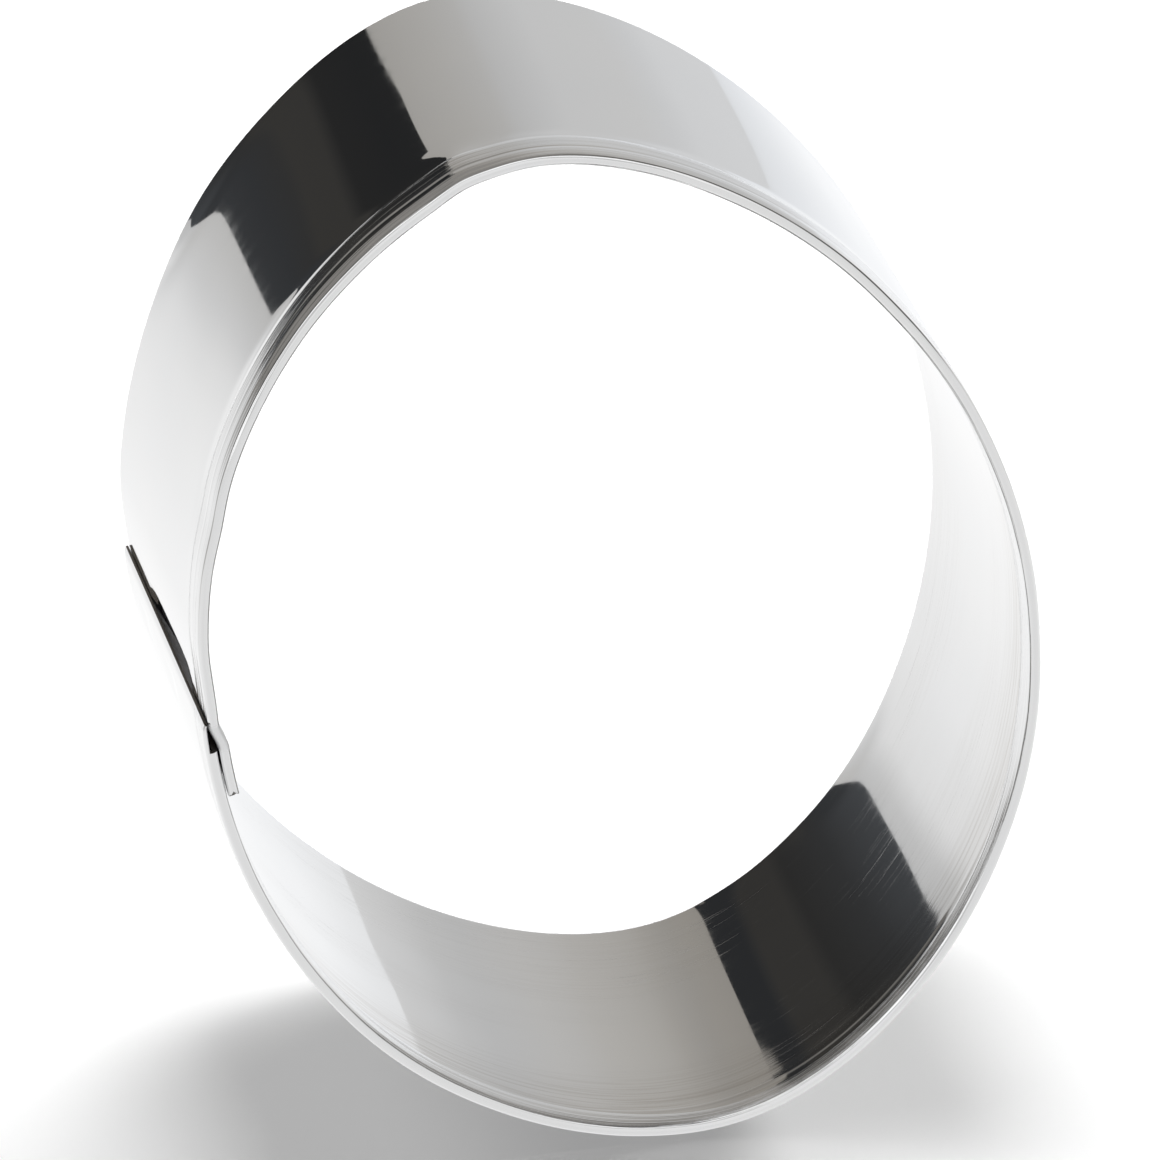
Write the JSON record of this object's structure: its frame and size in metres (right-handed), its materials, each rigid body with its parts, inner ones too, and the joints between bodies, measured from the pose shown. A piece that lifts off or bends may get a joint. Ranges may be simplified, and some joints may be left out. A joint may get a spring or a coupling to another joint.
{
  "type": "egg cookie cutter",
  "caption": "Egg-shaped cookie cutter: a hoop of thin stainless strip with a folded safety hem on top, a bare cutting edge below and a spot-welded lap seam.",
  "frame": {"origin": "centre of the outline's box, on the plane of the cutting edge", "axes": "+Z from the cutting edge up to the hem, +Y along the egg's long axis to its narrower end, +X to the right, with the lap seam on the -X side"},
  "size_m": [0.0532, 0.07, 0.025],
  "materials": {
    "stainless_strip": "bright-rolled stainless sheet: near-mirror outside, fine lengthwise streaks inside",
    "weld_steel": "dull re-melted stainless steel"
  },
  "bodies": {
    "root": {"cutter_band": "stainless_strip", "spot_weld_edge_side": "weld_steel", "spot_weld_hem_side": "weld_steel"}
  },
  "joints": []
}
